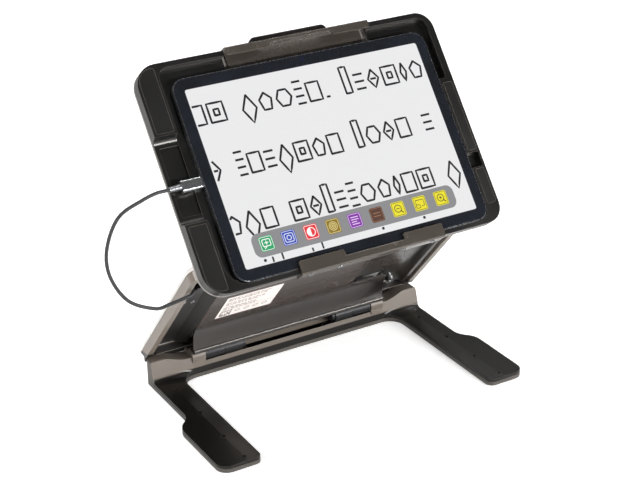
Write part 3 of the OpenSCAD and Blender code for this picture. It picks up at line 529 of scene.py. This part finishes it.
def round_rect(x0, x1, y0, y1, radius, steps):
    corners = ((x1 - radius, y1 - radius, 0), (x0 + radius, y1 - radius, 90),
               (x0 + radius, y0 + radius, 180), (x1 - radius, y0 + radius, 270))
    return [p for cx, cy, turn in corners for p in arc(cx, cy, radius, turn, turn + 90, steps)]


# ------------------------------------------------------------------ the page on the display
# Rows of plain outlines and bars stand in for print.
def polygon(cx, cy, rx, ry, sides, turn):
    angles = [math.radians(turn + 360 * k / sides) for k in range(sides + 1)]
    return [(cx + rx * math.cos(a), cy + ry * math.sin(a)) for a in angles]


def box(x0, y0, x1, y1):
    return rect(x0, y0, x1, y1) + [(x0, y0)]


def bars(width, *heights):
    return [[(0.0, h), (width, h)] for h in heights]


# mark: its polylines in a cell 1 high, and its width
MARKS = {
    "hexagon": ([polygon(0.5, 0.5, 0.5, 0.5, 6, 0)], 1.0),
    "nested": ([box(0.0, 0.0, 1.0, 1.0), box(0.34, 0.34, 0.66, 0.66)], 1.0),
    "box": ([box(0.0, 0.0, 0.86, 1.0)], 0.86),
    "slim": ([polygon(0.2, 0.5, 0.2, 0.5, 4, 90)], 0.4),
    "tall": ([box(0.0, 0.0, 0.44, 1.45)], 0.5),
    "drop": ([polygon(0.45, 0.3, 0.45, 0.75, 4, 90)], 0.9),
    "pentagon": ([polygon(0.4, 0.48, 0.42, 0.5, 5, 90)], 0.82),
    "bars3": (bars(0.62, 0.1, 0.5, 0.9), 0.62),
    "bars4": (bars(0.52, 0.0, 0.4, 0.8, 1.2), 0.52),
    "dash": (bars(0.2, 0.06), 0.2),
    "barred": ([polygon(0.37, 0.5, 0.37, 0.5, 4, 90), [(0.2, 0.5), (0.54, 0.5)]], 0.76),
    "space": ([], 0.55),
}
# baseline, what the row's span falls short of the display's width, marks
ROWS = [
    (136.0, 1, "box nested space drop pentagon hexagon bars4 box dash space tall bars3 barred nested"
               " slim pentagon"),
    (87.4, 10, "barred space bars4 box bars3 drop nested pentagon box space tall hexagon barred box"
               " space bars3"),
    (39.4, 1, "pentagon drop box space nested barred tall bars3 bars4 hexagon pentagon slim box nested"
              " space drop"),
]
MARK_HEIGHT = 16.6
MARK_GAP = 0.30            # part of the mark height
ROW_LEAD = 2.5             # how far left of the display a row starts
SCREEN_X = (10.3, 237.3)   # from the tablet's left edge
SCREEN_Y = (10.4, 168.1)
PRINT_MARGIN = 0.9


def on_display(point):
    return all(low + PRINT_MARGIN < value < high - PRINT_MARGIN
               for value, (low, high) in zip(point, (SCREEN_X, SCREEN_Y)))


def clip(points):
    """Pieces of a polyline inside the display, with each segment cut in three."""
    walk = points[:1] + [(a[0] + (b[0] - a[0]) * k / 3, a[1] + (b[1] - a[1]) * k / 3)
                         for a, b in zip(points, points[1:]) for k in (1, 2, 3)]
    runs = [list(group) for inside, group in groupby(walk, on_display) if inside]
    return [run for run in runs if len(run) > 1]


def build_print():
    ink = Sheet(tablet_point, low=-0.012, high=0.012)
    for baseline, short, names in ROWS:
        marks = [MARKS[name] for name in names.split()]
        natural = (sum(width for _, width in marks) + MARK_GAP * (len(marks) - 1)) * MARK_HEIGHT
        cell = MARK_HEIGHT * (SCREEN_X[1] - SCREEN_X[0] - short) / natural
        start = SCREEN_X[0] - ROW_LEAD
        for lines, width in marks:
            for line in lines:
                for run in clip([(start + x * cell, baseline + y * MARK_HEIGHT) for x, y in line]):
                    ink.stroke(run, width=1.95, cap=True)
            start += (width + MARK_GAP) * cell
    # tips of the next line of print at the foot of the display: x, bottom, top
    for x, y0, y1 in ((36.3, 10.9, 15.5), (45.4, 10.9, 17.4), (73.5, 10.9, 14.2), (83.2, 10.9, 20.4)):
        ink.stroke([(x, y0), (x, y1)], width=1.6)
    for x, y in ((29.2, 13.9), (142.8, 14.6), (184.4, 14.6)):
        ink.prism(arc(x, y, 1.35, 0, 330, 11))
    ink.build("display_print", "cradle", MATS["glyph_ink"])


build_print()

# ------------------------------------------------------------------ toolbar and its keys
toolbar = Sheet(tablet_point, low=-0.004, high=0.02)
toolbar.prism(round_rect(22.6, 220.6, 16.6, 37.2, radius=6.5, steps=6))
toolbar.build("display_toolbar", "cradle", lit("toolbar_grey", srgb("8a8a8b")))

KEY_Y = 27.3
KEY_HALF = 6.4
BORDER_HALF = KEY_HALF - 0.8
LINE = 0.75  # usual stroke width of a sign


# parts of a sign about its key's centre: points, stroke width (0 for filled), closed
def line(*points, width=LINE):
    return points, width, False


def loop(points, width=LINE):
    return points, width, True


BORDER = loop(round_rect(-BORDER_HALF, BORDER_HALF, -BORDER_HALF, BORDER_HALF, 1.4, 3), width=0.45)
MAGNIFIER = [loop(circle(3.2, 16, cx=-0.4, cy=0.4)), line((1.9, -1.9), (4.0, -4.0), width=1.0),
             line((-1.9, 0.4), (1.1, 0.4))]
# x, key colour, sign colour, sign
KEYS = [
    (35.2, "1fa463", "ffffff", [
        loop(round_rect(-3.6, 3.6, -2.2, 3.6, 1, 3)), line((-1.8, 0.7), (1.8, 0.7)),
        line((0, -1.0), (0, 2.4)), line((-2.6, -2.4), (-2.6, -4.2), (-0.6, -2.4))]),
    (56.3, "2a44ae", "dfe6ff", [loop(round_rect(-3.9, 3.9, -3.6, 3.6, 1.2, 3)), loop(circle(2.0, 14))]),
    (77.3, "e8262c", "ffffff", [loop(circle(3.7, 18)), loop(arc(0, 0, 3.4, 90, 270, 12), width=0)]),
    (98.4, "8c7215", "e9d98c", [loop(circle(r, 14), width=0.6) for r in (3.7, 2.3, 0.9)]),
    (119.8, "7f2fa0", "efc9ff", [line((-3.6, y), (end, y), width=0.8)
                                 for y, end in ((2.9, 3.6), (0.9, 3.6), (-1.1, 1.4), (-3.1, 3.6))]),
    (141.4, "54331f", "9a6a4a", [line((-3.4, y), (3.4, y), width=0.7) for y in (1.4, -1.2)]),
    (163.1, "eee21c", "5b5408", MAGNIFIER),
    (185.0, "eee21c", "5b5408", [
        line((-3.9, -0.6), (-3.9, 3.2), (3.9, 3.2), (3.9, -2.4), (1.2, -2.4)),
        loop(round_rect(-4.3, -0.4, -3.8, -0.9, 0.8, 2), width=0.6)]),
    (206.7, "eee21c", "5b5408", MAGNIFIER + [line((-0.4, -1.1), (-0.4, 1.9))]),
]


def build_key(number, key_x, key_colour, sign_colour, sign):
    def on_key(x, y, height):
        return tablet_point(key_x + x, KEY_Y + y, height)

    tile = Sheet(on_key, low=0.019, high=0.03)
    tile.prism(round_rect(-KEY_HALF, KEY_HALF, -KEY_HALF, KEY_HALF, radius=1.8, steps=4))
    tile.build("display_key_%d" % number, "cradle", lit("key_%d" % number, srgb(key_colour)))
    raised = Sheet(on_key, low=0.029, high=0.04)
    for points, width, closed in [BORDER] + sign:
        if width:
            raised.stroke(points, width, closed)
        else:
            raised.prism(points)
    raised.build("display_sign_%d" % number, "cradle", lit("sign_%d" % number, srgb(sign_colour)))


for number, key in enumerate(KEYS, 1):
    build_key(number, *key)

# ------------------------------------------------------------------ cable, from the plug to the arm's socket
PLUG_ALONG = 90.1
CABLE_RADIUS = 1.5
SPAN_STEPS = 12


def plug_point(x):
    """On the plug's axis, in mm."""
    return cradle_point(x, PLUG_ALONG, EDGE_LINE) / MM


def socket_point(dx, along, out):
    """From the arm's cable socket, in the arm's axes, in mm."""
    return arm_point(-131.9 + dx, 140.0 + along, -11.3 + out) / MM


CABLE_START = plug_point(-145.1)
CABLE_EXIT = plug_point(-156.2)
# the cable's sweep out to the left and down, from its exit (x, y, z)
SWEEP = ((0, 0, 0), (-13, 0, -3.2), (-35.5, -0.4, -13.2), (-47.5, -1, -37), (-47.2, -1.7, -61.3),
         (-33.8, -3, -86.4), (-12, -6, -98.4))
# its way into the socket (dx, along, out)
ENTRY = ((-24.1, -6, 5.1), (-10.6, -1, 4.9), (-5.3, 0, 4.5), (-1.6, 0, 1.1), (1.1, 0, 0), (4.3, 0, 0))
STATIONS = [CABLE_EXIT + Vector(d) for d in SWEEP] + [socket_point(*d) for d in ENTRY]
SPLIT = 2  # the station where the two lengths of cable meet


def catmull(p0, p1, p2, p3, t):
    return 0.5 * ((2 * p1) + (p2 - p0) * t + (2 * p0 - 5 * p1 + 4 * p2 - p3) * t * t
                  + (3 * p1 - p0 - 3 * p2 + p3) * t * t * t)


def curve(first, last):
    """Smooth points from one station to another."""
    end = len(STATIONS) - 1
    path = []
    for i in range(first, last):
        around = [STATIONS[min(max(i + k, 0), end)] for k in (-1, 0, 1, 2)]
        path += [catmull(*around, k / SPAN_STEPS) for k in range(SPAN_STEPS)]
    return path + [STATIONS[last]]


def tube(name, path, radii, mat, body=None, sides=20):
    """A capped tube along a path in mm, with a radius for each point."""
    count = len(path)
    verts, faces = [], []
    up = Vector((0, 1, 0.15)).normalized()
    for i, radius in enumerate(radii):
        along = (path[min(i + 1, count - 1)] - path[max(i - 1, 0)]).normalized()
        a = along.cross(up).normalized()
        b = a.cross(along)
        for k in range(sides):
            angle = 2 * math.pi * k / sides
            verts.append((path[i] + a * (radius * math.cos(angle)) + b * (radius * math.sin(angle))) * MM)
    for i in range(count - 1):
        for k in range(sides):
            j = (k + 1) % sides
            faces.append([i * sides + k, i * sides + j, (i + 1) * sides + j, (i + 1) * sides + k])
    faces.append(list(range(sides))[::-1])
    faces.append([(count - 1) * sides + k for k in range(sides)])
    return make(name, body, mat, verts, faces, smooth=True)


def build_cable(name, path):
    return tube(name, path, [CABLE_RADIUS] * len(path), MATS["cable_jacket"])


near = [CABLE_START + (CABLE_EXIT - CABLE_START) * k / 8 for k in range(8)] + curve(0, SPLIT)
far = curve(SPLIT, len(STATIONS) - 1)
near_ob = build_cable("cable_near_plug", near)
far_ob = build_cable("cable_loop", far)
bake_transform(near_ob)
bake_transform(far_ob)
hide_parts("usb_cable")
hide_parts("usb_cable")

# moulded rings of the strain relief, widening away from the plug
RING_BULGE = 0.28
for k in range(5):
    path = [plug_point(-144.6 + k * 1.75 + dx) for dx in (-0.45, -0.3, 0.0, 0.3, 0.45)]
    radii = [2.2 + 0.09 * k + RING_BULGE * math.sin(math.pi * i / 4) for i in range(5)]
    tube("relief_ring_%d" % (k + 1), path, radii, MATS["relief_metal"], "plug")


# ------------------------------------------------------------------ label marks, all meaningless
def build_label_marks():
    rng = random.Random(7)
    left = -83.4
    marks = Sheet(lambda x, y, height: arm_point(x, y, -11.86 + height), low=0, high=0.03)
    # lines of dashes, ragged at the right
    for i in range(11):
        if i in (3, 7):
            continue
        y = 88.4 - i * 2.3
        x = left
        while x < (-52 if i > 5 else -46):
            width = rng.uniform(1.2, 5.2)
            marks.prism(rect(x, y, x + width, y + 0.95))
            x += width + rng.uniform(0.7, 1.6)
    # square of scattered cells with a nearly full border
    pitch, cell = 1.25, 1.15
    for i in range(9):
        for j in range(9):
            if (i in (0, 8) or j in (0, 8) or rng.random() > 0.5) and (i + j) % 7:
                x, y = left + i * pitch, 51 + j * pitch
                marks.prism(rect(x, y, x + cell, y + cell))
    # four struck circles
    for k in range(4):
        x = -66 + k * 9
        marks.stroke(circle(2.6, 14, cx=x, cy=57.5), width=0.5, closed=True)
        marks.stroke([(x - 1.5, 56.3), (x + 1.5, 58.7)], width=0.5)
    # rule across the label
    marks.stroke([(-84.6, 63.6), (-31.4, 63.6)], width=0.35)
    marks.build("label_marks", "arm", MATS["label_ink"])


build_label_marks()

# ------------------------------------------------------------------ tablet details
# two rows of holes in the tablet's left edge, drawn along the edge and through its thickness
holes = Sheet(lambda x, y, height: tablet_point(height - 0.02, x, y), low=-0.02, high=0.3)
for first in (17, 119):
    for k in range(12):
        holes.prism(arc(first + 3 * k, EDGE_LINE, 0.62, 0, 330, 9))
holes.build("speaker_holes", "cradle", MATS["moulded_black"])

front_camera = Sheet(tablet_point, low=0.0, high=0.012)
front_camera.prism(circle(1.5, 18, cx=sum(SCREEN_X) / 2, cy=174.3))
front_camera.build("tablet_front_camera", "cradle", MATS["lens_glass"])

# ------------------------------------------------------------------ camera and floor
cam = add_object("camera", bpy.data.cameras.new("camera"))
cam.data.lens = 90.07
cam.data.sensor_width = 36
cam.data.sensor_fit = "HORIZONTAL"
cam.data.clip_start = 0.05
cam.data.clip_end = 50
CAMERA_PLACE = (-0.63570, -1.16014, 0.72453)
# columns: the camera's right, up and backward directions
CAMERA_TURN = Matrix(((0.86094804, 0.22763896, -0.45491645),
                      (-0.50840791, 0.35512525, -0.7844791),
                      (-0.01702569, 0.90667886, 0.42147783)))
cam.matrix_world = Matrix.Translation(CAMERA_PLACE) @ CAMERA_TURN.to_4x4()
bpy.context.scene.camera = cam

FLOOR_HALF = 12
floor_corners = [(x, y, 0) for x, y in rect(-FLOOR_HALF, -FLOOR_HALF, FLOOR_HALF, FLOOR_HALF)]
floor = make("studio_floor", None, floor_pale("floor_pale"), floor_corners, [[0, 1, 2, 3]])


# ------------------------------------------------------------------ world
def build_world():
    """A dim room in front, a brighter sweep behind and overhead, near white to the camera."""
    world = bpy.data.worlds.new("studio")
    bpy.context.scene.world = world
    world.use_nodes = True
    sky = Nodes(world.node_tree)
    out = sky.node("ShaderNodeOutputWorld")
    coords = sky.node("ShaderNodeTexCoord")
    split = sky.node("ShaderNodeSeparateXYZ", {0: coords.outputs["Generated"]})
    behind = sky.ramp(split.outputs["Y"], across=(0.0, 0.9), to=(0.03, 0.14),
                      interpolation_type="SMOOTHSTEP")
    over = sky.ramp(split.outputs["Z"], across=(0.75, 0.98), to=(0.0, 0.2),
                    interpolation_type="SMOOTHSTEP")
    room = sky.calc("ADD", behind, over)
    light_path = sky.node("ShaderNodeLightPath")
    seen = sky.calc("MULTIPLY", light_path.outputs["Is Camera Ray"], 1.0)
    background = sky.node("ShaderNodeBackground",
                          {0: (1.0, 0.985, 0.97), 1: sky.calc("MAXIMUM", room, seen)})
    sky.wire(out.inputs[0], background.outputs[0])


build_world()


# ------------------------------------------------------------------ lights
def panel_light(name, length, width, power):
    light = bpy.data.lights.new(name, "AREA")
    light.shape = "RECTANGLE"
    light.size = length
    light.size_y = width
    light.energy = power
    return add_object(name, light)


def strip(name, toward, distance, along, length, width, power):
    """A long light seen along `toward` from the object, its length parallel to `along`."""
    z = Vector(toward).normalized()
    x = Vector(along)
    x = (x - z * x.dot(z)).normalized()
    turn = Matrix((x, z.cross(x), z)).transposed().to_4x4()
    centre = Vector((0, -0.06, 0.12))
    ob = panel_light(name, length, width, power)
    ob.matrix_world = Matrix.Translation(centre + z * distance) @ turn


def area(name, place, target, length, width, power):
    """A light at `place`, aimed at `target`."""
    ob = panel_light(name, length, width, power)
    ob.location = place
    ob.rotation_euler = (Vector(target) - Vector(place)).to_track_quat("-Z", "Y").to_euler()


# Edges along the hinges catch the first three, edges up the cradle and the arm the others.
ACROSS, UPWARD = (1, 0, 0), (0, 0.62, 0.78)
# name, toward, distance, along, length, width, power
STRIPS = [
    ("front_low_strip", (0.50, -0.84, 0.20), 1.7, ACROSS, 1.6, 0.09, 38),
    ("over_strip", (0.455, 0.20, 0.86), 1.7, ACROSS, 2.2, 0.08, 12),
    ("high_back_strip", (0.455, 0.62, 0.64), 1.9, ACROSS, 1.2, 0.02, 2.5),
    ("left_strip", (-0.84, -0.30, 0.44), 1.7, UPWARD, 1.6, 0.08, 16),
    ("left_back_strip", (-0.75, 0.55, 0.36), 1.8, UPWARD, 1.2, 0.2, 7),
]
for row in STRIPS:
    strip(*row)
area("key", place=(-1.7, 0.1, 1.5), target=(0, -0.05, 0.1), length=0.5, width=0.3, power=7)
area("floor_wash", place=(0, -0.3, 3.2), target=(0, -0.1, 0), length=3.0, width=3.0, power=4)
bpy.context.scene.view_settings.view_transform = "Standard"
